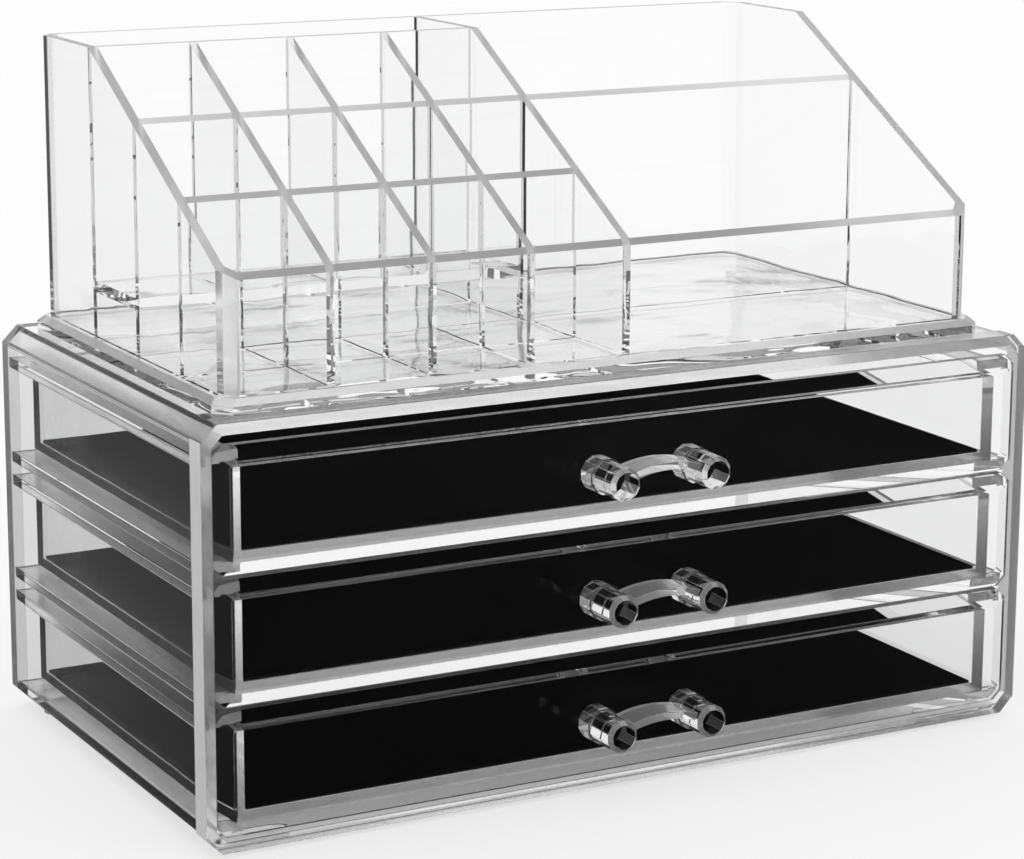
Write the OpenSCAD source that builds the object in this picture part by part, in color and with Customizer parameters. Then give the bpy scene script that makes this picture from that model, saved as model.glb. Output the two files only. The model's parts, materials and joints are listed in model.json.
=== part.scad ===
// Clear make-up organizer: a three-drawer cabinet with a lift-off tray of open compartments.
// Millimetres. X runs across the front, -Y is the front, +Z is up.
// The origin is on the surface that the feet stand on, under the middle of the whole outline.

/* [Cabinet] */
// Width of the cabinet body behind the front rim
body_w = 239.2; // [190:0.1:320]
// Depth of the cabinet from the front of the rim to the back
cab_d = 137; // [110:1:200]
// Height of the cabinet body without the feet
body_h = 105.2; // [90:0.1:150]
// Wall thickness of the cabinet body
wall_t = 2.5; // [2:0.1:3.5]
// Width of the flat cut along the four long edges of the cabinet
edge_cut = 4.3; // [2:0.1:6]
// Depth of the front rim
rim_d = 6.5; // [5:0.1:12]
// How far the rim stands proud of the cabinet body
rim_proud = 0.4; // [0.2:0.1:1.5]
// Thickness of the back panel
back_t = 2.5; // [2:0.1:4]

/* [Feet] */
// Height of each foot pad
foot_h = 1.6; // [1:0.1:4]
// Length of each foot pad
foot_l = 20; // [12:1:40]
// Width of each foot pad
foot_w = 8; // [5:0.5:12]
// Distance from a foot pad to the side of the cabinet body
foot_inset_x = 5; // [5:0.5:20]
// Distance from a foot pad to the front and the back of the cabinet
foot_inset_y = 8; // [7:0.5:25]

/* [Rails] */
// How far each rail stands in from the side of the cabinet
rail_w = 9.2; // [8:0.1:12]
// Thickness of each rail
rail_t = 2.5; // [1.8:0.1:3]

/* [Drawers] */
// Thickness of a drawer front
front_t = 3.5; // [2.5:0.1:5]
// Gap between a drawer front and the side of its opening
front_side_gap = 0.5; // [0.3:0.1:1.5]
// Gap between one drawer front and the next
front_gap = 0.8; // [0.5:0.1:2]
// Gap under the bottom drawer front
sill_gap = 0.8; // [0.5:0.1:2]
// Gap over the top drawer front
head_gap = 2.7; // [1:0.1:5]
// Width of the flat cut on the corners of a drawer front
front_corner = 2.5; // [2:0.1:4]
// Width of the bevelled border round a drawer front
bevel_w = 4.2; // [2:0.1:7]
// Depth of the bevelled border at its edge
bevel_t = 1.1; // [0.5:0.1:1.8]
// Gap from the cabinet side to the side of a drawer box
box_side_gap = 6.3; // [5:0.1:7.5]
// Wall thickness of a drawer box
box_wall = 2.5; // [1.8:0.1:3]
// Floor thickness of a drawer box
box_floor = 2; // [1.5:0.1:3]
// Gap between a drawer box and the back panel
box_back_gap = 1.5; // [0.5:0.1:6]
// Height of a runner's top over the bottom edge of its drawer front
runner_rise = 2.7; // [2.6:0.1:4]
// Distance from the top edge of a drawer front down to the top of its guide
guide_drop = 2.9; // [1:0.1:5]
// Running clearance between a drawer box and its rails
run_gap = 0.3; // [0.2:0.05:0.6]
// Thickness of a drawer liner
liner_t = 0.8; // [0.5:0.1:2]
// Gap between a drawer liner and the walls round it
liner_gap = 0.5; // [0.2:0.1:2]

/* [Handles] */
// Distance between the two posts of a handle
post_pitch = 26.3; // [22:0.1:40]
// Width of a post over its corners
post_w = 8.6; // [7:0.1:9]
// Width over the corners of the collar at a post's back end
collar_w = 9.4; // [9.1:0.1:11]
// Length of a post with its collar
post_l = 15; // [15:0.5:25]
// Length of the collar
collar_l = 5; // [3:0.1:8]
// Width of the bevel round the front end of a post
post_bevel = 1; // [0.3:0.1:1.2]
// Thickness of the strap between the posts
strap_t = 1.9; // [1.2:0.1:2.5]
// Width of the strap from back to front
strap_w = 8.6; // [5:0.1:8.8]
// Distance from the drawer front to the strap
strap_gap = 4.4; // [4.4:0.1:5]
// Rise of the strap at mid span
strap_rise = 3; // [1:0.1:5]
// How far the handle lies under the middle of the drawer front
handle_drop = 1.8; // [0:0.1:3]

/* [Tray] */
// Width of the tray over its walls
tray_w = 218; // [180:1:235]
// Depth of the tray over its walls
tray_d = 120.3; // [100:0.1:126]
// Distance from the front of the cabinet to the front wall of the tray
tray_setback = 11; // [10:0.5:14]
// Height of the tray from its underside to its top
tray_h = 78.7; // [60:0.1:110]
// Height of the tray's front wall from the underside
tray_front_h = 31.8; // [25:0.1:45]
// Thickness of the tray's base plate
base_t = 3.7; // [2.5:0.1:5]
// How far the base plate stands out past the walls
base_lip = 2.8; // [1:0.1:3.5]
// Width of the bevel along the top edge of the base plate
base_bevel = 1.6; // [0.5:0.1:2]
// Thickness of the tray's outer walls
tray_wall = 2.5; // [2:0.1:3.5]
// Width of the flat cut on the upright corners of the tray
tray_corner = 4; // [3:0.1:6]
// Thickness of the dividers
div_t = 2.2; // [1.5:0.1:3]
// Distance from the front of the tray to the rear divider, where the slope ends
rear_div_y = 83.8; // [75:0.1:90]
// Distance between the cross dividers, and from the rear divider to the first
row_pitch = 28.2; // [22:0.1:30]
// Distance between the slanted dividers, and from the left wall to the first
col_pitch = 27.5; // [20:0.1:32]
// Height of the raised floor's top over the base plate
shelf_rise = 14.5; // [8:0.1:25]
// Thickness of the raised floor
shelf_t = 3; // [2:0.1:4]
// Play in the slots where two dividers cross
lap_gap = 0.1; // [0.05:0.05:0.3]

/* [Hidden] */
$fn = 64;

// The piece to build, or "all"

// How far a cutting shape runs past what it cuts
over = 1;

// Inner faces of the cabinet body
in_x = body_w / 2 - wall_t;
in_w = 2 * in_x;
body_z = foot_h;
sill_z = body_z + wall_t;
head_z = body_z + body_h - wall_t;
body_top = body_z + body_h;

// A corner cut keeps the wall equally thick when the inner outline takes this much less of it
cut_share = 2 - sqrt(2);
inner_cut = edge_cut - wall_t * cut_share;

// Front and back of the cabinet: the handles reach forward of it by post_l
front_y = -(cab_d - post_l) / 2;
back_y = front_y + cab_d;
panel_y = back_y - back_t;
rail_y = front_y + rim_d;

// Drawer fronts fill the opening, one over the other
bays = 3;
front_w = in_w - 2 * front_side_gap;
front_h = (head_z - sill_z - sill_gap - head_gap - (bays - 1) * front_gap) / bays;
bay_pitch = front_h + front_gap;

// Drawer boxes run between a runner and a guide on each side
box_w = in_w - 2 * box_side_gap;
box_y = front_y + front_t;
box_d = panel_y - box_back_gap - box_y;
box_h = front_h - runner_rise - guide_drop - rail_t - 2 * run_gap;

// Handle posts, and the strap: an arc through the middles of the posts
post_sides = 12;
strap_r = (pow(post_pitch / 2, 2) + pow(strap_rise, 2)) / (2 * strap_rise);

// Tray
tray_x = -tray_w / 2;
tray_y = front_y + tray_setback;
tray_in_y = tray_y + tray_wall;
tray_back_y = tray_y + tray_d - tray_wall;
base_top = body_top + base_t;
tray_top = body_top + tray_h;
low_top = body_top + tray_front_h;
tray_inner_cut = tray_corner - tray_wall * cut_share;
rear_y = tray_y + rear_div_y;
cols = 4;
col0_x = tray_x + tray_wall / 2;
left_in_x = tray_x + tray_wall;
right_in_x = -left_in_x;
part_x = col0_x + cols * col_pitch;

// Height of the bottom edge of the front of drawer k, counted from the bottom drawer, 0
function bay_z(k) = sill_z + sill_gap + k * bay_pitch;

// Top of the runners of drawer k
function runner_top(k) = bay_z(k) + runner_rise;

// Top of the guides of drawer k
function guide_top(k) = bay_z(k) + front_h - guide_drop;

// Middle of slanted divider k, counted from the left
function div_x(k) = col0_x + k * col_pitch;

// Middle of cross divider k, counted from the rear divider forward
function row_y(k) = rear_y - k * row_pitch;

// Height of the sloping top of the tray at depth y
function slope_z(y) = low_top + (tray_top - low_top) * (y - tray_y) / (rear_y - tray_y);

// ---- shared outlines ----

// A rectangle with its four corners cut at 45 degrees
module cut_rect(w, h, cut) {
  x = w / 2;
  y = h / 2;
  polygon([[x - cut, -y], [x, -y + cut], [x, y - cut], [x - cut, y],
    [-x + cut, y], [-x, y - cut], [-x, -y + cut], [-x + cut, -y]]);
}

// A cut rectangle standing upright and running back from depth y, its middle at height z
module tube(w, h, cut, y, depth, z) {
  translate([0, y + depth, z])
    rotate([90, 0, 0])
      linear_extrude(depth)
        cut_rect(w, h, cut);
}

// The inside of the cabinet, from depth y
module cabinet_inside(y, depth) {
  tube(in_w, body_h - 2 * wall_t, inner_cut, y, depth, body_z + body_h / 2);
}

// ---- cabinet ----

module cabinet_body() {
  color("aliceblue", 0.4)
    difference() {
      tube(body_w, body_h, edge_cut, rail_y, cab_d - rim_d, body_z + body_h / 2);
      cabinet_inside(rail_y - over, cab_d);
    }
}

module front_rim() {
  rim_w = body_w + 2 * rim_proud;
  rim_h = body_h + 2 * rim_proud;
  color("aliceblue", 0.4)
    difference() {
      tube(rim_w, rim_h, edge_cut, front_y, rim_d, body_z + body_h / 2);
      cabinet_inside(front_y - over, rim_d + 2 * over);
    }
}

module back_panel() {
  color("aliceblue", 0.4)
    cabinet_inside(panel_y, back_t);
}

// A foot pad with round ends; sx and sy are -1 or 1 for the side and the end of the cabinet
module foot(sx, sy) {
  x = sx * (body_w / 2 - foot_inset_x - foot_l / 2);
  mid_y = (front_y + back_y) / 2;
  y = mid_y + sy * (cab_d / 2 - foot_inset_y - foot_w / 2);
  straight = foot_l - foot_w;
  color("aliceblue", 0.6)
    translate([x, y, 0])
      union() {
        translate([-straight / 2, -foot_w / 2, 0])
          cube([straight, foot_w, foot_h]);
        for (e = [-1, 1])
          translate([e * straight / 2, 0, 0])
            cylinder(h = foot_h, d = foot_w);
      }
}

// A rail on the cabinet's side wall, its top at height z; side is -1 for left and 1 for right
module rail(side, z) {
  rail_l = panel_y - rail_y;
  x = side > 0 ? in_x - rail_w : -in_x - over;
  color("lightsteelblue", 0.6)
    intersection() {
      translate([x, rail_y, z - rail_t])
        cube([rail_w + over, rail_l, rail_t]);
      cabinet_inside(rail_y, rail_l);
    }
}

module runner(side, k) {
  rail(side, runner_top(k));
}

module guide(side, k) {
  rail(side, guide_top(k));
}

// ---- drawers ----

// The open box of drawer k
module drawer_box(k) {
  in_box_w = box_w - 2 * box_wall;
  in_box_d = box_d - 2 * box_wall;
  color("aliceblue", 0.4)
    translate([-box_w / 2, box_y, runner_top(k) + run_gap])
      difference() {
        cube([box_w, box_d, box_h]);
        translate([box_wall, box_wall, box_floor])
          cube([in_box_w, in_box_d, box_h]);
      }
}

// The front of drawer k: a thick plate whose front face has a bevelled border
module drawer_front(k) {
  mid_z = bay_z(k) + front_h / 2;
  skin = 0.01;
  color("azure", 0.5)
    union() {
      tube(front_w, front_h, front_corner, front_y + bevel_t, front_t - bevel_t, mid_z);
      hull() {
        tube(front_w, front_h, front_corner, front_y + bevel_t, skin, mid_z);
        tube(front_w - 2 * bevel_w, front_h - 2 * bevel_w, front_corner / 2, front_y, skin, mid_z);
      }
    }
}

// One twelve-sided post of a handle, its flats facing up and to the sides, with a wider collar
// against the drawer front
module post() {
  rotate([90, 0, 0])
    rotate([0, 0, 180 / post_sides])
      union() {
        cylinder(h = collar_l, d = collar_w, $fn = post_sides);
        cylinder(h = post_l - post_bevel, d = post_w, $fn = post_sides);
        translate([0, 0, post_l - post_bevel])
          cylinder(h = post_bevel, d1 = post_w, d2 = post_w - 2 * post_bevel, $fn = post_sides);
      }
}

// The arched strap, its ends inside the posts
module strap() {
  intersection() {
    translate([0, -strap_gap, strap_rise - strap_r])
      rotate([90, 0, 0])
        difference() {
          cylinder(h = strap_w, r = strap_r + strap_t / 2, $fn = 180);
          translate([0, 0, -over])
            cylinder(h = strap_w + 2 * over, r = strap_r - strap_t / 2, $fn = 180);
        }
    translate([-post_pitch / 2, -strap_gap - strap_w - over, -strap_t])
      cube([post_pitch, strap_w + 2 * over, strap_rise + 2 * strap_t]);
  }
}

// The bow handle of drawer k
module handle(k) {
  mid_z = bay_z(k) + front_h / 2 - handle_drop;
  color("azure", 0.5)
    translate([0, front_y, mid_z])
      union() {
        for (side = [-1, 1])
          translate([side * post_pitch / 2, 0, 0])
            post();
        strap();
      }
}

// The black liner on the floor of drawer k
module liner(k) {
  w = box_w - 2 * (box_wall + liner_gap);
  d = box_d - 2 * (box_wall + liner_gap);
  color([0.05, 0.05, 0.05])
    translate([-w / 2, box_y + box_wall + liner_gap, runner_top(k) + run_gap + box_floor])
      cube([w, d, liner_t]);
}

// ---- tray ----

// Plan of the tray's outline, grown by lip
module tray_plan(lip, cut) {
  translate([0, tray_y + tray_d / 2])
    cut_rect(tray_w + 2 * lip, tray_d + 2 * lip, cut);
}

module tray_base() {
  skin = 0.01;
  flat_t = base_t - base_bevel;
  color("aliceblue", 0.4)
    translate([0, 0, body_top])
      union() {
        linear_extrude(flat_t)
          tray_plan(base_lip, tray_corner);
        hull() {
          translate([0, 0, flat_t - skin])
            linear_extrude(skin)
              tray_plan(base_lip, tray_corner);
          translate([0, 0, base_t - skin])
            linear_extrude(skin)
              tray_plan(base_lip - base_bevel, tray_corner);
        }
      }
}

// The ring of the four walls, with its sloping top
module tray_ring() {
  intersection() {
    translate([0, 0, base_top])
      linear_extrude(tray_top - base_top)
        difference() {
          tray_plan(0, tray_corner);
          tray_plan(-tray_wall, tray_inner_cut);
        }
    under_slope(-tray_w / 2 - over, tray_w + 2 * over);
  }
}

// Everything under the tray's sloping top, for a width w from x
module under_slope(x, w) {
  near_y = tray_y - over;
  far_y = tray_y + tray_d + over;
  translate([x, 0, 0])
    rotate([90, 0, 90])
      linear_extrude(w)
        polygon([[near_y, 0], [far_y, 0], [far_y, tray_top], [rear_y, tray_top],
          [tray_y, low_top], [near_y, low_top]]);
}

// The ring between mitred corners: a wall on one side of the tray, by its plan outline
module tray_wall_piece(points) {
  color("aliceblue", 0.4)
    intersection() {
      tray_ring();
      translate([0, 0, base_top])
        linear_extrude(tray_h)
          polygon(points);
    }
}

// Corners of the mitre cuts: outer ones on the tray's outline and inner ones reach in from them
reach = tray_wall + tray_corner;
mx = tray_w / 2;
my0 = tray_y;
my1 = tray_y + tray_d;

module tray_wall_left() {
  tray_wall_piece([[-mx, my0], [-mx + reach, my0 + reach], [-mx + reach, my1 - reach], [-mx, my1]]);
}

module tray_wall_right() {
  tray_wall_piece([[mx, my0], [mx, my1], [mx - reach, my1 - reach], [mx - reach, my0 + reach]]);
}

module tray_wall_back() {
  tray_wall_piece([[-mx, my1], [-mx + reach, my1 - reach], [mx - reach, my1 - reach], [mx, my1]]);
}

module tray_wall_front() {
  tray_wall_piece([[-mx, my0], [mx, my0], [mx - reach, my0 + reach], [-mx + reach, my0 + reach]]);
}

// A divider across the tray from x0 to x1, its middle at depth y, up to height top
module cross_panel(x0, x1, y, top) {
  translate([x0, y - div_t / 2, base_top])
    cube([x1 - x0, div_t, top - base_top]);
}

module rear_divider() {
  color("aliceblue", 0.4)
    cross_panel(left_in_x, part_x - div_t / 2, rear_y + div_t / 2, tray_top);
}

// The partition from the front wall to the back wall, with the sloping top
module centre_partition() {
  color("aliceblue", 0.4)
    intersection() {
      translate([part_x - div_t / 2, tray_in_y, base_top])
        cube([div_t, tray_back_y - tray_in_y, tray_h]);
      under_slope(part_x - div_t, 2 * div_t);
    }
}

// Height at which the slots of cross divider k meet those of the slanted dividers
function lap_z(k) = (base_top + slope_z(row_y(k))) / 2;

// Slanted divider k: it keeps its whole top edge, and slots below clear the cross dividers
module slanted_divider(k) {
  x = div_x(k) - div_t / 2;
  slot = div_t + 2 * lap_gap;
  color("aliceblue", 0.4)
    difference() {
      intersection() {
        translate([x, tray_in_y, base_top])
          cube([div_t, rear_y - tray_in_y, tray_h]);
        under_slope(x - over, div_t + 2 * over);
      }
      for (r = [1, 2])
        translate([x - over, row_y(r) - slot / 2, base_top - over])
          cube([div_t + 2 * over, slot, lap_z(r) - base_top + over]);
      shelf_notch(x);
    }
}

// What a slanted divider at x leaves free so that it stands on the raised floor
module shelf_notch(x) {
  translate([x - over, row_y(1), base_top - over])
    cube([div_t + 2 * over, row_pitch + over, shelf_rise + over]);
}

// Cross divider r: slots in its upper half let the slanted dividers down over it
module cross_divider(r) {
  slot = div_t + 2 * lap_gap;
  y = row_y(r);
  color("aliceblue", 0.4)
    difference() {
      intersection() {
        cross_panel(left_in_x, part_x - div_t / 2, y, tray_top);
        under_slope(left_in_x, part_x - left_in_x);
      }
      for (k = [1 : cols - 1])
        translate([div_x(k) - slot / 2, y - div_t, lap_z(r)])
          cube([slot, 2 * div_t, tray_h]);
    }
}

module right_divider() {
  x0 = part_x + div_t / 2;
  color("aliceblue", 0.4)
    intersection() {
      cross_panel(x0, right_in_x, row_y(1), tray_top);
      under_slope(x0, right_in_x - x0);
    }
}

// The raised floor of the rear row of small cells, one plate through the slanted dividers
module raised_floor() {
  y0 = row_y(1) + div_t / 2;
  color("aliceblue", 0.4)
    translate([left_in_x, y0, base_top + shelf_rise - shelf_t])
      cube([part_x - div_t / 2 - left_in_x, rear_y - y0, shelf_t]);
}

cabinet_body();
front_rim();
back_panel();
foot(-1, -1);  // foot_front_left
foot(1, -1);  // foot_front_right
foot(-1, 1);  // foot_back_left
foot(1, 1);  // foot_back_right
runner(-1, 0);  // runner_left_bottom
runner(-1, 1);  // runner_left_middle
runner(-1, 2);  // runner_left_top
runner(1, 0);  // runner_right_bottom
runner(1, 1);  // runner_right_middle
runner(1, 2);  // runner_right_top
guide(-1, 0);  // guide_left_bottom
guide(-1, 1);  // guide_left_middle
guide(-1, 2);  // guide_left_top
guide(1, 0);  // guide_right_bottom
guide(1, 1);  // guide_right_middle
guide(1, 2);  // guide_right_top
drawer_box(0);  // box_bottom
drawer_box(1);  // box_middle
drawer_box(2);  // box_top
drawer_front(0);  // front_bottom
drawer_front(1);  // front_middle
drawer_front(2);  // front_top
handle(0);  // handle_bottom
handle(1);  // handle_middle
handle(2);  // handle_top
liner(0);  // liner_bottom
liner(1);  // liner_middle
liner(2);  // liner_top
tray_base();
tray_wall_left();
tray_wall_right();
tray_wall_back();
tray_wall_front();
rear_divider();
centre_partition();
slanted_divider(1);  // slanted_divider_left
slanted_divider(2);  // slanted_divider_middle
slanted_divider(3);  // slanted_divider_right
cross_divider(1);  // cross_divider_rear
cross_divider(2);  // cross_divider_front
right_divider();
raised_floor();
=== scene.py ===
import json
import math

import bmesh
import bpy
from mathutils import Matrix, Vector


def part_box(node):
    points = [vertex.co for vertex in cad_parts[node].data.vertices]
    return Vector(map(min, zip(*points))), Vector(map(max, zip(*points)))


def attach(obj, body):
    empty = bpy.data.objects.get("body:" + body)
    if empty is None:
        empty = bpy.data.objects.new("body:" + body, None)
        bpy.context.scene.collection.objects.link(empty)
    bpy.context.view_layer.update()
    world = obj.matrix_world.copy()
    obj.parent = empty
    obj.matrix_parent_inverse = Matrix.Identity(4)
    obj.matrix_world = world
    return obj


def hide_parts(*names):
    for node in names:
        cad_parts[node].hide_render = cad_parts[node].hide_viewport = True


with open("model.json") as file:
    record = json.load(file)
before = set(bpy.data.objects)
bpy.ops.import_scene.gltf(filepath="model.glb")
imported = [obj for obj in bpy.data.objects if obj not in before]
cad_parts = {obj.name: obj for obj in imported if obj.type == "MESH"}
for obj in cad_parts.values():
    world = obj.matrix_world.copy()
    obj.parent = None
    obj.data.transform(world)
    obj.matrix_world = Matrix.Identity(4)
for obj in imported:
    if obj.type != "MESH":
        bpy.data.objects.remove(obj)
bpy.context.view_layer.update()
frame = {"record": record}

# All modelling is done in millimetres, and each finished mesh is scaled down to metres.
MM = 0.001
# How far one solid is sunk into the next before they are fused
BITE = 0.06
# The films of air under the tray and under each liner
AIR_TRAY = 0.04
AIR_LINER = 0.02
# How far a cutting solid runs past what it cuts
OVER = 5.0

X, Y, Z = 0, 1, 2
LEVELS = ("bottom", "middle", "top")
SIDES = (("left", -1), ("right", 1))


# ---- sizes ----

def span(node):
    """Lowest and highest corner of a CAD node, in millimetres."""
    lo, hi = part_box(node)
    return lo / MM, hi / MM


BODY_LO, BODY_HI = span("cabinet_body")
RIM_LO, RIM_HI = span("front_rim")
PANEL_LO, PANEL_HI = span("back_panel")
BASE_LO, BASE_HI = span("tray_base")
FRONT_LO, FRONT_HI = span("tray_wall_front")
LEFT_LO = span("tray_wall_left")[0]
BACK_HI = span("tray_wall_back")[1]
WALL = BODY_HI.x - PANEL_HI.x

# The 45 degree cuts along the cabinet's long edges
EDGE_CUT = 4.3
# How much smaller a 45 degree cut is on the inside of a wall, as a share of the wall's thickness
CUT_SHARE = 2 - math.sqrt(2)
# Gap between a rail's back end and the back panel, which the solids close
RAIL_GAP = 1.0
# Width of the whitened strips down the sides of the cabinet's back
BACK_STRIP = 6.1
# Steps round each end of a foot
FOOT_STEPS = 8

# A drawer's box, and the corners and bevelled border of its front
BOX_WALL = 2.5
BOX_FLOOR = 2.0
FRONT_CORNER = 2.5
BEVEL_W = 4.2
BEVEL_T = 1.1

# A handle: two posts with a collar and a bevelled end, and an arched strap between them
POST_SIDES = 12
POST_PITCH = 26.3
POST_W = 8.6
POST_BEVEL = 1.0
COLLAR_W = 9.4
COLLAR_L = 5.0
STRAP_T = 1.9
STRAP_RISE = 3.0
STRAP_GAP = 4.4
STRAP_W = 8.6
STRAP_STEPS = 24

# The tray's corners, its walls, the bevel of its base, and how far the space under its raised floor is cut
# up into the floor before that is fused on
TRAY_CORNER = 4.0
TRAY_WALL = 2.5
BASE_BEVEL = 1.6
SHELF_CUT = 1.0

# Edge roundings, the segments of each, and the smallest angle between faces that is rounded
ROUND_CABINET = 0.35
ROUND_DRAWER = 0.35
ROUND_TRAY = 0.4
ROUND_LINER = 0.2
ROUND_SEGMENTS = 2
ROUND_ANGLE = math.radians(20)


# ---- mesh building ----

def link(name, mesh):
    piece = bpy.data.objects.new(name, mesh)
    bpy.context.scene.collection.objects.link(piece)
    return piece


def finish_mesh(name, bm):
    bmesh.ops.recalc_face_normals(bm, faces=bm.faces)
    mesh = bpy.data.meshes.new(name)
    bm.to_mesh(mesh)
    bm.free()
    return link(name, mesh)


def place(axis, u, v, w):
    """A point from its two coordinates across an axis, in X, Y, Z order, and its place along it."""
    point = [u, v]
    point.insert(axis, w)
    return point


def prism(points, axis, lo, hi, name="solid"):
    """A closed prism: an outline across an axis, from lo to hi along it."""
    bm = bmesh.new()
    rings = [[bm.verts.new(place(axis, u, v, w)) for u, v in points] for w in (lo, hi)]
    count = len(points)
    for ring in rings:
        bm.faces.new(ring)
    for i in range(count):
        j = (i + 1) % count
        bm.faces.new((rings[0][i], rings[0][j], rings[1][j], rings[1][i]))
    return finish_mesh(name, bm)


def loft(rings, name="solid"):
    """A closed solid through rings of points, with a flat cap at each end."""
    bm = bmesh.new()
    made = [[bm.verts.new(p) for p in ring] for ring in rings]
    count = len(rings[0])
    bm.faces.new(made[0])
    bm.faces.new(made[-1])
    for a, b in zip(made, made[1:]):
        for i in range(count):
            j = (i + 1) % count
            bm.faces.new((a[i], a[j], b[j], b[i]))
    return finish_mesh(name, bm)


def block(lo, hi, name="solid"):
    outline = [(lo[0], lo[1]), (hi[0], lo[1]), (hi[0], hi[1]), (lo[0], hi[1])]
    return prism(outline, Z, lo[2], hi[2], name)


def grown(lo, hi):
    """A box grown by the bite on all sides."""
    return Vector(lo) - Vector((BITE,) * 3), Vector(hi) + Vector((BITE,) * 3)


def cut_rect(lo_u, lo_v, hi_u, hi_v, cut):
    """The outline of a rectangle with its corners cut at 45 degrees."""
    return [(lo_u + cut, lo_v), (hi_u - cut, lo_v), (hi_u, lo_v + cut), (hi_u, hi_v - cut),
            (hi_u - cut, hi_v), (lo_u + cut, hi_v), (lo_u, hi_v - cut), (lo_u, lo_v + cut)]


def combine(base, others, operation):
    """Applies one boolean operation with each of the others, and removes them."""
    for other in others:
        step = base.modifiers.new("step", "BOOLEAN")
        step.operation = operation
        step.solver = "EXACT"
        step.object = other
    bpy.context.view_layer.update()
    graph = bpy.context.evaluated_depsgraph_get()
    mesh = bpy.data.meshes.new_from_object(base.evaluated_get(graph))
    name = base.name
    for used in [base, *others]:
        bpy.data.objects.remove(used)
    return link(name, mesh)


def fuse(base, *others):
    return combine(base, others, "UNION")


def cut(base, *others):
    return combine(base, others, "DIFFERENCE")


def common(base, *others):
    return combine(base, others, "INTERSECT")


def to_part(piece, name, rounding):
    """Rounds the edges of a fused solid, scales it to metres and names it."""
    bevel = piece.modifiers.new("rounding", "BEVEL")
    bevel.width = rounding
    bevel.segments = ROUND_SEGMENTS
    bevel.limit_method = "ANGLE"
    bevel.angle_limit = ROUND_ANGLE
    bevel.use_clamp_overlap = True
    bpy.context.view_layer.update()
    graph = bpy.context.evaluated_depsgraph_get()
    mesh = bpy.data.meshes.new_from_object(piece.evaluated_get(graph))
    mesh.transform(Matrix.Scale(MM, 4))
    bpy.data.objects.remove(piece)
    return link(name, mesh)


# ---- marks on faces ----

# The mark holds a strength. At 1 a face is satin: rough, and as clear as a polished one. Above 1 it is
# rougher in proportion, and scatters more of the light, so it turns whiter and less clear. A negative
# strength whitens the same and leaves the face polished, which paints white highlights.
SATIN_AND_HIGHLIGHT = "satin"
# Strengths of the whitening: faint, for the painted highlight on the handle's strap and ring; whiter; and
# whitest, also used for the painted highlight on the handle's edges
FAINT_HIGHLIGHT = 1.6
WHITER = 2.0
WHITEST = 3.0

# Share of an axis in a face's normal, below which the face runs along the axis
ALONG = 0.2
# Shares above which it slants towards the axis, mostly faces it, squarely faces it and is flat across it
SLANTED = 0.3
MOSTLY = 0.5
SQUARE = 0.95
FLAT = 0.99
# Shares between which it is a 45 degree bevel
BEVEL_FROM, BEVEL_TO = 0.65, 0.75
# Angles in degrees from the middle of a post's flat side, between which its rounded long edge lies
POST_EDGE_FROM, POST_EDGE_TO = 8, 22
# Distances in millimetres: in one plane, near a side, within its rounded border, and clear of a wall
SAME = 0.01
NEAR = 0.1
BORDER = 0.5
APART = 1.0


def split_ends(piece, y, xs):
    """Splits the flat faces at depth y along upright lines at each x, all in millimetres."""
    bm = bmesh.new()
    bm.from_mesh(piece.data)
    for x in xs:
        parts = set()
        for face in bm.faces:
            if abs(face.calc_center_median().y / MM - y) < SAME and abs(face.normal.y) > FLAT:
                parts.update([face, *face.edges, *face.verts])
        bmesh.ops.bisect_plane(bm, geom=list(parts), plane_co=(x * MM, 0, 0), plane_no=(1, 0, 0))
    bm.to_mesh(piece.data)
    bm.free()


def mark_satin_and_highlight(piece, strength):
    """Marks each face with strength(its middle in millimetres, its normal), 0 for a polished one."""
    marks = piece.data.attributes.new(SATIN_AND_HIGHLIGHT, "FLOAT", "FACE")
    for face in piece.data.polygons:
        marks.data[face.index].value = float(strength(face.center / MM, face.normal))
    return piece


# ---- node building ----

def feed(tree, socket, value):
    """Gives a socket a number, or wires another socket to it."""
    if isinstance(value, (int, float)):
        socket.default_value = value
    else:
        tree.links.new(value, socket)


def calculate(tree, operation, *values, clamp=False):
    node = tree.nodes.new("ShaderNodeMath")
    node.operation = operation
    node.use_clamp = clamp
    for socket, value in zip(node.inputs, values):
        feed(tree, socket, value)
    return node.outputs["Value"]


def map_range(tree, value, source, target, smooth=False):
    """Takes one pair of numbers to another, and what lies between them with it."""
    node = tree.nodes.new("ShaderNodeMapRange")
    if smooth:
        node.interpolation_type = "SMOOTHSTEP"
    node.inputs["From Min"].default_value, node.inputs["From Max"].default_value = source
    node.inputs["To Min"].default_value, node.inputs["To Max"].default_value = target
    tree.links.new(value, node.inputs["Value"])
    return node.outputs["Result"]


def noise(tree, vector, scale, detail):
    node = tree.nodes.new("ShaderNodeTexNoise")
    node.inputs["Scale"].default_value = scale
    node.inputs["Detail"].default_value = detail
    tree.links.new(vector, node.inputs["Vector"])
    return node.outputs["Fac"]


def bumps(tree, height, strength, distance):
    """A normal with bumps; distance is in metres."""
    node = tree.nodes.new("ShaderNodeBump")
    feed(tree, node.inputs["Strength"], strength)
    node.inputs["Distance"].default_value = distance
    tree.links.new(height, node.inputs["Height"])
    return node.outputs["Normal"]


def object_coords(tree):
    return tree.nodes.new("ShaderNodeTexCoord").outputs["Object"]


def grey(level):
    return (level, level, level, 1)


def mix_colour(tree, factor, a, b):
    """A colour mix whose ends are colours, grey levels or sockets."""
    mix = tree.nodes.new("ShaderNodeMix")
    mix.data_type = "RGBA"
    tree.links.new(factor, mix.inputs["Factor"])
    for socket, value in ((mix.inputs["A"], a), (mix.inputs["B"], b)):
        if isinstance(value, (int, float)):
            socket.default_value = grey(value)
        elif isinstance(value, tuple):
            socket.default_value = value
        else:
            tree.links.new(value, socket)
    return mix.outputs["Result"]


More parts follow.
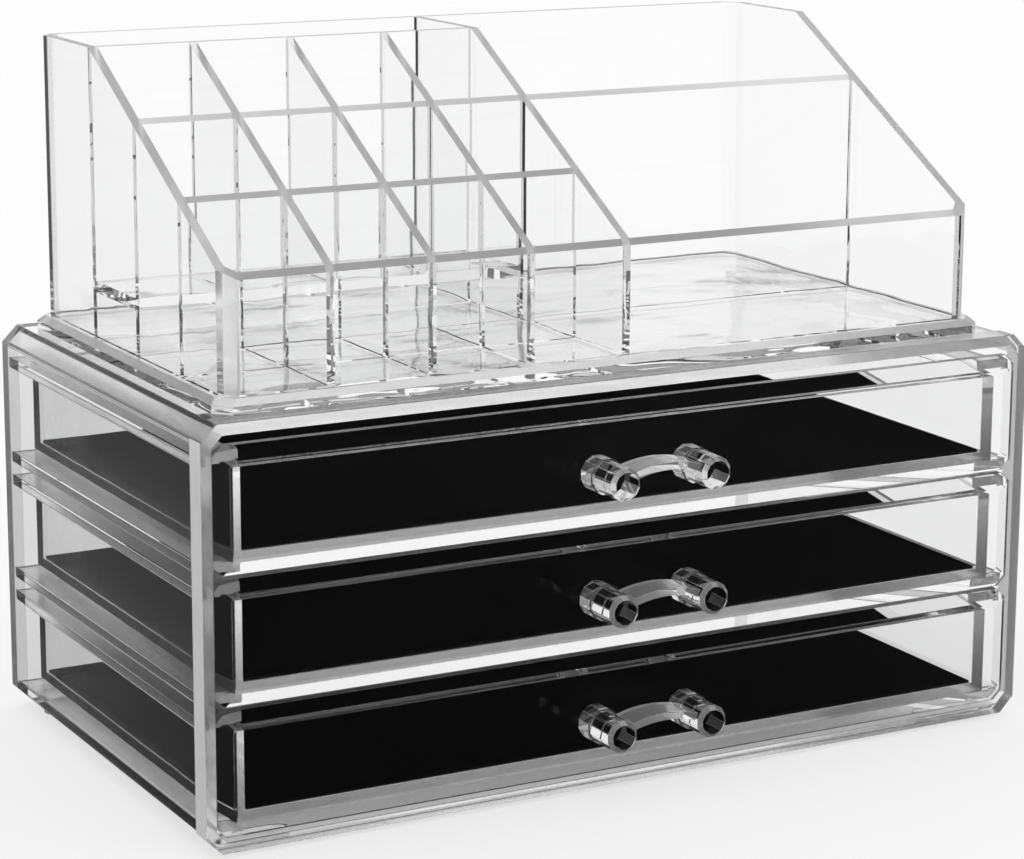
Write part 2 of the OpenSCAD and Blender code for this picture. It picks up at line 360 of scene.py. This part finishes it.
def new_material(name):
    """An empty material, its node tree and the socket for its surface."""
    material = bpy.data.materials.new(name)
    material.use_nodes = True
    tree = material.node_tree
    tree.nodes.clear()
    out = tree.nodes.new("ShaderNodeOutputMaterial")
    return material, tree, out.inputs["Surface"]


# ---- materials ----

CLEAR = (0.997, 0.998, 0.998, 1)
PLASTIC_IOR = 1.49
# Share of the plain mirror image that the polish gives back
MIRROR_SHARE = 0.25
# Roughness of a satin face, and the share of the light that the whitest face lets through
SATIN_ROUGHNESS = 0.22
WHITEST_CLEARNESS = 0.5
# Wear in the polish: scale and detail of its pattern, the part of that which shows, and its most roughness
WEAR_SCALE = 90
WEAR_DETAIL = 4.0
WEAR_SHOWS = (0.45, 0.75)
WEAR_ROUGHNESS = 0.03
# Detail and strength of the moulding wave, and what is left of the strength higher up a wall
WAVE_DETAIL = 1.0
WAVE_STRENGTH = 0.3
FAINT_WAVE = 0.03
# How much closer the wave's bands lie up a wall than along it
FOOT_LAYERS = 2.5


def clear_plastic(name, wave_size, wave_height, foot=None):
    """Clear moulded plastic with refraction, a faint moulding wave, wear in the polish, and marked faces,
    some of them whitened as painted highlights.

    foot is a pair of heights in metres: the wave is full under the first and faint over the second."""
    material, tree, surface = new_material(name)
    add, wire = tree.nodes.new, tree.links.new
    shader = add("ShaderNodeBsdfPrincipled")
    shader.inputs["Base Color"].default_value = CLEAR
    shader.inputs["IOR"].default_value = PLASTIC_IOR
    shader.inputs["Transmission Weight"].default_value = 1.0
    shader.inputs["Specular Tint"].default_value = grey(MIRROR_SHARE)
    coords = object_coords(tree)

    wave_coords, wave_strength = coords, WAVE_STRENGTH
    if foot:
        layers = add("ShaderNodeMapping")
        layers.inputs["Scale"].default_value = (1, 1, FOOT_LAYERS)
        wire(coords, layers.inputs["Vector"])
        wave_coords = layers.outputs["Vector"]
        height = add("ShaderNodeSeparateXYZ")
        wire(coords, height.inputs["Vector"])
        wave_strength = map_range(tree, height.outputs["Z"], foot, (WAVE_STRENGTH, FAINT_WAVE), smooth=True)
    wave = noise(tree, wave_coords, 1 / wave_size, WAVE_DETAIL)
    wire(bumps(tree, wave, wave_strength, wave_height), shader.inputs["Normal"])

    wear = noise(tree, coords, WEAR_SCALE, WEAR_DETAIL)
    worn = map_range(tree, wear, WEAR_SHOWS, (0.0, WEAR_ROUGHNESS))
    satin = add("ShaderNodeAttribute")
    satin.attribute_name = SATIN_AND_HIGHLIGHT
    blur = calculate(tree, "MAXIMUM", satin.outputs["Fac"], 0.0)
    wire(calculate(tree, "MULTIPLY_ADD", blur, SATIN_ROUGHNESS, worn), shader.inputs["Roughness"])
    # How much a face is whitened; on the handle this paints highlights
    whiteness = calculate(tree, "ABSOLUTE", satin.outputs["Fac"])
    clearness = map_range(tree, whiteness, (1.0, WHITEST), (1.0, WHITEST_CLEARNESS))
    wire(clearness, shader.inputs["Transmission Weight"])
    wire(shader.outputs["BSDF"], surface)
    return material


# The liner's darkest and lightest colour, its shine, the scale and detail of its patches, and the scale,
# detail, bumps and roughness of its nap, with the bumps' height in metres
FLEECE_DARK = (0.004, 0.004, 0.0042, 1)
FLEECE_LIGHT = (0.009, 0.009, 0.0095, 1)
FLEECE_SHINE = 0.02
PATCH_SCALE = 25
PATCH_DETAIL = 2.0
NAP_SCALE = 2500
NAP_DETAIL = 3.0
NAP_STRENGTH = 0.15
NAP_HEIGHT = 0.0002
NAP_ROUGHNESS = (0.75, 0.95)


def black_fleece(name):
    """Thin black liner with a short dense nap."""
    material, tree, surface = new_material(name)
    wire = tree.links.new
    shader = tree.nodes.new("ShaderNodeBsdfPrincipled")
    shader.inputs["Specular IOR Level"].default_value = FLEECE_SHINE
    coords = object_coords(tree)
    nap = noise(tree, coords, NAP_SCALE, NAP_DETAIL)
    patch = noise(tree, coords, PATCH_SCALE, PATCH_DETAIL)
    wire(mix_colour(tree, patch, FLEECE_DARK, FLEECE_LIGHT), shader.inputs["Base Color"])
    wire(bumps(tree, nap, NAP_STRENGTH, NAP_HEIGHT), shader.inputs["Normal"])
    wire(map_range(tree, nap, (0.0, 1.0), NAP_ROUGHNESS), shader.inputs["Roughness"])
    wire(shader.outputs["BSDF"], surface)
    return material


# Wave sizes and heights, and the foot's heights, are in metres
BODY_PLASTIC = clear_plastic("clear_body", wave_size=0.03, wave_height=0.0004)
FRONT_PLASTIC = clear_plastic("clear_front", wave_size=0.04, wave_height=0.0002)
TRAY_PLASTIC = clear_plastic("clear_tray", wave_size=0.03, wave_height=0.0014, foot=(0.118, 0.134))
LINER_CLOTH = black_fleece("black_liner")


def dress(piece, material, slot, body, *nodes):
    """Gives a piece its material, puts it on the body it rides on, and hides the CAD nodes it stands for.
    """
    piece.data.materials.clear()
    piece.data.materials.append(material)
    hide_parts(*nodes)
    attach(piece, body)


# ---- cabinet ----

def tube_outline(lo, hi, edge_cut):
    return cut_rect(lo.x, lo.z, hi.x, hi.z, edge_cut)


def foot_pad(lo, hi):
    """A pad with round ends."""
    radius = (hi.y - lo.y) / 2
    outline = []
    for centre, start in ((hi.x - radius, -90), (lo.x + radius, 90)):
        for i in range(FOOT_STEPS + 1):
            a = math.radians(start + 180 * i / FOOT_STEPS)
            outline.append((centre + radius * math.cos(a), lo.y + radius + radius * math.sin(a)))
    return prism(outline, Z, lo.z, hi.z + BITE)


def rail(kind, side, sign, level):
    """A runner or guide, sunk into the side wall."""
    lo, hi = span(f"{kind}_{side}_{level}")
    if sign < 0:
        lo.x -= BITE
    else:
        hi.x += BITE
    hi.y = PANEL_LO.y - RAIL_GAP
    return block(lo, hi)


def make_cabinet():
    """The body, rim and back panel, with the rails and feet fused on."""
    inner_cut = EDGE_CUT - WALL * CUT_SHARE
    shell = prism(tube_outline(BODY_LO, BODY_HI, EDGE_CUT), Y, RIM_HI.y - BITE, BODY_HI.y, "cabinet")
    rim = prism(tube_outline(RIM_LO, RIM_HI, EDGE_CUT), Y, RIM_LO.y, RIM_HI.y)
    shell = fuse(shell, rim)
    cavity = prism(tube_outline(PANEL_LO, PANEL_HI, inner_cut), Y, RIM_LO.y - OVER, PANEL_LO.y)
    shell = cut(shell, cavity)
    rails = [rail(kind, side, sign, level)
             for level in LEVELS for side, sign in SIDES for kind in ("runner", "guide")]
    feet = [foot_pad(*span(f"foot_{end}_{side}")) for end in ("front", "back") for side, _ in SIDES]
    cabinet = to_part(fuse(shell, *rails, *feet), "cabinet_shell", ROUND_CABINET)
    rail_reach = span("runner_right_top")[0].x
    strip_x = BODY_HI.x - BACK_STRIP
    split_ends(cabinet, BODY_HI.y, (-strip_x, strip_x))

    def strength(middle, normal):
        on_cut = abs(normal.x) > SLANTED and abs(normal.z) > SLANTED
        on_rim = middle.y < RIM_HI.y
        on_rim_side = on_rim and abs(middle.x) > RIM_HI.x - NEAR
        on_back_strip = middle.y > BODY_HI.y - BORDER and abs(middle.x) > strip_x
        by_rails = RIM_HI.y < middle.y < PANEL_LO.y and rail_reach - NEAR < abs(middle.x) < PANEL_HI.x
        off_walls = BODY_LO.z + WALL + APART < middle.z < BODY_HI.z - WALL - APART
        on_rail = by_rails and off_walls and abs(normal.z) > MOSTLY
        on_rail_end = by_rails and normal.y > MOSTLY and middle.y > PANEL_LO.y - RAIL_GAP - NEAR
        # The rim's sides are made rougher, whiter and less clear, and the back's side strips and the rails'
        # back ends whiter and less clear.
        return (WHITEST * on_rim_side or WHITER * (on_back_strip or on_rail_end)
                or on_cut or on_rim or on_rail)

    return mark_satin_and_highlight(cabinet, strength)


# ---- drawers ----

def post(lo, hi, sign, mid_z):
    """A twelve-sided post with a collar at its root and a bevelled end."""
    half_turn = math.pi / POST_SIDES
    rings = []
    for width, y in ((COLLAR_W, hi.y + BITE), (COLLAR_W, hi.y - COLLAR_L), (POST_W, hi.y - COLLAR_L),
                     (POST_W, lo.y + POST_BEVEL), (POST_W - 2 * POST_BEVEL, lo.y)):
        ring = []
        for i in range(POST_SIDES):
            a = 2 * math.pi * i / POST_SIDES + half_turn
            x = sign * POST_PITCH / 2 + width / 2 * math.cos(a)
            ring.append((x, y, mid_z + width / 2 * math.sin(a)))
        rings.append(ring)
    return loft(rings)


def strap(hi, mid_z):
    """The arched strap between the posts."""
    radius = ((POST_PITCH / 2) ** 2 + STRAP_RISE ** 2) / (2 * STRAP_RISE)
    half = math.asin(POST_PITCH / 2 / radius)
    outline = []
    for r, order in ((radius + STRAP_T / 2, 1), (radius - STRAP_T / 2, -1)):
        for i in range(STRAP_STEPS + 1):
            a = order * half * (2 * i / STRAP_STEPS - 1)
            outline.append((r * math.sin(a), mid_z + STRAP_RISE - radius + r * math.cos(a)))
    y1 = hi.y - STRAP_GAP
    return prism(outline, Y, y1 - STRAP_W, y1)


def handle_solids(level):
    lo, hi = span(f"handle_{level}")
    mid_z = lo.z + COLLAR_W / 2 * math.cos(math.pi / POST_SIDES)
    return [post(lo, hi, sign, mid_z) for _, sign in SIDES] + [strap(hi, mid_z)]


def make_drawer(level):
    """An open box, its front with a bevelled border, and its handle, as one clear part."""
    lo, hi = span(f"box_{level}")
    tub = block((lo.x, lo.y - BITE, lo.z), hi, f"drawer_{level}")
    inside = block((lo.x + BOX_WALL, lo.y + BOX_WALL, lo.z + BOX_FLOOR),
                   (hi.x - BOX_WALL, hi.y - BOX_WALL, hi.z + OVER))
    tub = cut(tub, inside)
    lo, hi = span(f"front_{level}")
    outline = cut_rect(lo.x, lo.z, hi.x, hi.z, FRONT_CORNER)
    inner = cut_rect(lo.x + BEVEL_W, lo.z + BEVEL_W, hi.x - BEVEL_W, hi.z - BEVEL_W, FRONT_CORNER / 2)
    rings = []
    for points, y in ((outline, hi.y), (outline, lo.y + BEVEL_T), (inner, lo.y)):
        rings.append([place(Y, u, v, y) for u, v in points])
    plate = loft(rings)
    drawer = to_part(fuse(tub, plate, *handle_solids(level)), f"drawer_{level}_clear", ROUND_DRAWER)

    def strength(middle, normal):
        on_plate_side = lo.y < middle.y < hi.y and abs(normal.y) < MOSTLY
        on_underside = middle.y > hi.y and normal.z < -MOSTLY
        on_handle = middle.y < lo.y - BORDER
        on_strap = on_handle and abs(middle.x) < (POST_PITCH - POST_W) / 2
        turn = math.degrees(math.atan2(normal.z, normal.x)) % (360 / POST_SIDES)
        on_post_edge = abs(normal.y) < ALONG and POST_EDGE_FROM < turn < POST_EDGE_TO and not on_strap
        on_ring = on_handle and BEVEL_FROM < abs(normal.y) < BEVEL_TO
        on_edge = on_handle and not on_ring and (ALONG < abs(normal.y) < SQUARE or on_post_edge)
        # The handle's edges, strap and bevelled ring are whitened but left polished: painted highlights.
        return -WHITEST * on_edge or -FAINT_HIGHLIGHT * (on_strap or on_ring) or on_plate_side or on_underside

    return mark_satin_and_highlight(drawer, strength)


def make_liner(level):
    """A thin sheet laid on the drawer's floor."""
    lo, hi = span(f"liner_{level}")
    sheet = block((lo.x, lo.y, lo.z + AIR_LINER), hi)
    sheet = to_part(sheet, f"liner_{level}_cloth", ROUND_LINER)
    return sheet


# ---- tray ----

# Dividers that run from front to back, and across
DIVIDERS_DEEP = ("centre_partition", "slanted_divider_left", "slanted_divider_middle",
                 "slanted_divider_right")
DIVIDERS_ACROSS = ("cross_divider_rear", "cross_divider_front", "right_divider")


def tray_dividers(top):
    """All dividers, sunk into the walls they meet; those that the slope cuts later reach up to top."""
    solids = []
    for node in ("rear_divider", *DIVIDERS_DEEP, *DIVIDERS_ACROSS):
        lo, hi = grown(*span(node))
        if node in DIVIDERS_DEEP:
            lo.x += BITE
            hi.x -= BITE
            hi.z = top
        else:
            lo.y += BITE
            hi.y -= BITE
            hi.z -= BITE
            if node == "rear_divider":
                hi.z = top
        solids.append(block(lo, hi))
    return solids


def make_tray():
    """The base with its bevel, the walls and dividers cut to the slope, and the hollow raised floor."""
    lo, hi = BASE_LO, BASE_HI
    flat_z = hi.z - BASE_BEVEL
    rings = []
    for inset, z in ((0, lo.z + AIR_TRAY), (0, flat_z), (BASE_BEVEL, hi.z)):
        points = cut_rect(lo.x + inset, lo.y + inset, hi.x - inset, hi.y - inset, TRAY_CORNER)
        rings.append([place(Z, u, v, z) for u, v in points])
    base = loft(rings, "tray")
    x0, x1 = LEFT_LO.x, -LEFT_LO.x
    y0, y1 = FRONT_LO.y, BACK_HI.y
    top = BACK_HI.z
    inner_corner = TRAY_CORNER - TRAY_WALL * CUT_SHARE
    walls = prism(cut_rect(x0, y0, x1, y1, TRAY_CORNER), Z, hi.z - BITE, top)
    hole = prism(cut_rect(x0 + TRAY_WALL, y0 + TRAY_WALL, x1 - TRAY_WALL, y1 - TRAY_WALL, inner_corner),
                 Z, hi.z - OVER, top + OVER)
    walls = cut(walls, hole)
    upper = fuse(walls, *tray_dividers(top))
    # The front wall is highest on its back face, so the slope is run on from there to its front face
    kink_y = span("rear_divider")[0].y
    slope = (top - FRONT_HI.z) / (kink_y - FRONT_HI.y)
    low_top = FRONT_HI.z - slope * (FRONT_HI.y - y0)
    profile = [(y0 - OVER, lo.z), (y1 + OVER, lo.z), (y1 + OVER, top), (kink_y, top),
               (y0, low_top), (y0 - OVER, low_top)]
    upper = common(upper, prism(profile, X, x0 - OVER, x1 + OVER))
    shelf_lo, shelf_hi = grown(*span("raised_floor"))
    space = block((shelf_lo.x + BITE, shelf_lo.y + BITE, hi.z),
                  (shelf_hi.x - BITE, shelf_hi.y - BITE, shelf_lo.z + SHELF_CUT))
    upper = cut(upper, space)
    shelf_lo.z += BITE
    shelf_hi.z -= BITE
    tray = to_part(fuse(base, upper, block(shelf_lo, shelf_hi)), "tray_clear", ROUND_TRAY)

    def strength(middle, normal):
        on_top = middle.z > low_top - APART and normal.z > SLANTED
        on_bevel = flat_z - BORDER < middle.z < hi.z and SLANTED < normal.z < SQUARE
        on_corner = middle.z > hi.z and abs(normal.x) > SLANTED and abs(normal.y) > SLANTED
        # The tops of the walls and dividers and the base's bevel are made whiter and less clear; the
        # corners are satin.
        return WHITER * (on_top or on_bevel) or on_corner

    return mark_satin_and_highlight(tray, strength)


# ---- the part ----

bodies = frame["record"]["behaviour"]["bodies"]
dress(make_cabinet(), BODY_PLASTIC, "clear_body", "cabinet", *bodies["cabinet"])
for level in LEVELS:
    dress(make_drawer(level), FRONT_PLASTIC, "clear_front", f"drawer_{level}",
          f"box_{level}", f"front_{level}", f"handle_{level}")
    dress(make_liner(level), LINER_CLOTH, "black_liner", f"drawer_{level}", f"liner_{level}")
dress(make_tray(), TRAY_PLASTIC, "clear_body", "tray", *bodies["tray"])


# ---- floor and light ----

# Azimuth of the camera's line of sight in radians, clockwise from +Y seen from above
CAMERA_YAW = 0.50021
# How far the white backdrop behind the part reaches to each side of that: to its edge, and at full white
BACKDROP_EDGE = math.radians(60)
BACKDROP_FULL = math.radians(35)
# Half the floor's width in metres, and its grey level
FLOOR_HALF = 6
FLOOR_WHITE = 0.96
# Grey level of the dark cards that reflections show on the floor close round the part, and the distances in
# metres at which they begin and end to fade
CARD_GREY = 0.16
CARD_REACH = 0.5
CARD_FADE = 0.75
# Share of the floor that is plain white to the camera and through plastic; the rest keeps the part's shadow
FLOOR_PLAIN = 0.65
# Grey levels of the studio's walls and ceiling in reflections, and the sines of the angles above the
# horizon between which one passes into the other
STUDIO_WALL = 0.15
STUDIO_CEILING = 0.8
CEILING_FROM = 0.35
CEILING_FULL = 0.75
WHITE = 1.0


def mirrored_mask(tree):
    """1 for rays that were reflected, which see the studio, and 0 for all others, which see white."""
    path = tree.nodes.new("ShaderNodeLightPath")
    return calculate(tree, "GREATER_THAN", path.outputs["Glossy Depth"], 0.5)


def backdrop_mask(tree, vector):
    """1 towards the backdrop that stands behind the part, and 0 to the sides and the front."""
    unit = tree.nodes.new("ShaderNodeVectorMath")
    unit.operation = "NORMALIZE"
    tree.links.new(vector, unit.inputs[0])
    toward = tree.nodes.new("ShaderNodeVectorMath")
    toward.operation = "DOT_PRODUCT"
    toward.inputs[1].default_value = (math.sin(CAMERA_YAW), math.cos(CAMERA_YAW), 0)
    tree.links.new(unit.outputs["Vector"], toward.inputs[0])
    edges = (math.cos(BACKDROP_EDGE), math.cos(BACKDROP_FULL))
    return map_range(tree, toward.outputs["Value"], edges, (0.0, 1.0), smooth=True)


def make_floor():
    """A pale floor, which shows dark cards round the part to rays that were reflected."""
    bm = bmesh.new()
    bmesh.ops.create_grid(bm, x_segments=1, y_segments=1, size=FLOOR_HALF)
    floor = finish_mesh("floor", bm)
    material, tree, surface = new_material("pale_floor")
    add, wire = tree.nodes.new, tree.links.new
    coords = object_coords(tree)
    away = add("ShaderNodeVectorMath")
    away.operation = "LENGTH"
    wire(coords, away.inputs[0])
    card = map_range(tree, away.outputs["Value"], (CARD_REACH, CARD_FADE), (CARD_GREY, FLOOR_WHITE),
                     smooth=True)
    in_mirror = mix_colour(tree, backdrop_mask(tree, coords), card, FLOOR_WHITE)
    mirrored = mirrored_mask(tree)
    lit = add("ShaderNodeBsdfDiffuse")
    wire(mix_colour(tree, mirrored, FLOOR_WHITE, in_mirror), lit.inputs["Color"])
    plain = add("ShaderNodeEmission")
    plain.inputs["Strength"].default_value = WHITE
    path = add("ShaderNodeLightPath")
    seen = calculate(tree, "ADD", path.outputs["Is Camera Ray"], path.outputs["Is Transmission Ray"])
    direct = calculate(tree, "SUBTRACT", seen, mirrored, clamp=True)
    both = add("ShaderNodeMixShader")
    wire(calculate(tree, "MULTIPLY", direct, FLOOR_PLAIN), both.inputs["Fac"])
    wire(lit.outputs["BSDF"], both.inputs[1])
    wire(plain.outputs["Emission"], both.inputs[2])
    wire(both.outputs["Shader"], surface)
    floor.data.materials.append(material)


def make_world():
    """White all round, but reflections show a studio: a white backdrop, dim walls, a bright ceiling."""
    world = bpy.data.worlds.new("studio")
    bpy.context.scene.world = world
    world.use_nodes = True
    tree = world.node_tree
    tree.nodes.clear()
    add, wire = tree.nodes.new, tree.links.new
    out = add("ShaderNodeOutputWorld")
    light = add("ShaderNodeBackground")
    coords = add("ShaderNodeTexCoord").outputs["Generated"]
    split = add("ShaderNodeSeparateXYZ")
    wire(coords, split.inputs["Vector"])
    walls = map_range(tree, split.outputs["Z"], (CEILING_FROM, CEILING_FULL), (STUDIO_WALL, STUDIO_CEILING),
                      smooth=True)
    studio = mix_colour(tree, backdrop_mask(tree, coords), walls, WHITE)
    wire(mix_colour(tree, mirrored_mask(tree), WHITE, studio), light.inputs["Color"])
    wire(light.outputs["Background"], out.inputs["Surface"])


# ---- camera ----

# How far the camera looks down and how far it is turned about its line of sight, in radians, its place,
# sensor and lens in millimetres, its shift, and its clipping distances in metres
CAMERA_PITCH = 0.21352
CAMERA_ROLL = 0.0048
CAMERA_AT = (-394.075, -713.546, 271.245)
CAMERA_SENSOR = 36
CAMERA_LENS = 109.54
CAMERA_SHIFT = -0.0483
CAMERA_CLIP = (0.05, 50)


def make_camera():
    data = bpy.data.cameras.new("camera")
    camera = link("camera", data)
    level_x, level_y = math.sin(CAMERA_YAW), math.cos(CAMERA_YAW)
    down = math.sin(CAMERA_PITCH)
    forward = Vector((level_x * math.cos(CAMERA_PITCH), level_y * math.cos(CAMERA_PITCH), -down))
    right = Vector((level_y, -level_x, 0))
    up = right.cross(forward)
    side = math.cos(CAMERA_ROLL) * right + math.sin(CAMERA_ROLL) * up
    above = -math.sin(CAMERA_ROLL) * right + math.cos(CAMERA_ROLL) * up
    turn = Matrix((side, above, -forward)).transposed()
    camera.matrix_world = Matrix.Translation(Vector(CAMERA_AT) * MM) @ turn.to_4x4()
    data.sensor_width = CAMERA_SENSOR
    data.lens = CAMERA_LENS
    data.shift_y = CAMERA_SHIFT
    data.clip_start, data.clip_end = CAMERA_CLIP
    bpy.context.scene.camera = camera


make_floor()
make_world()
make_camera()

scene = bpy.context.scene
scene.view_settings.view_transform = "Standard"
# A ray crosses many walls of plastic before it leaves the part
scene.cycles.max_bounces = 40
scene.cycles.transmission_bounces = 40
scene.cycles.glossy_bounces = 24
scene.cycles.diffuse_bounces = 4
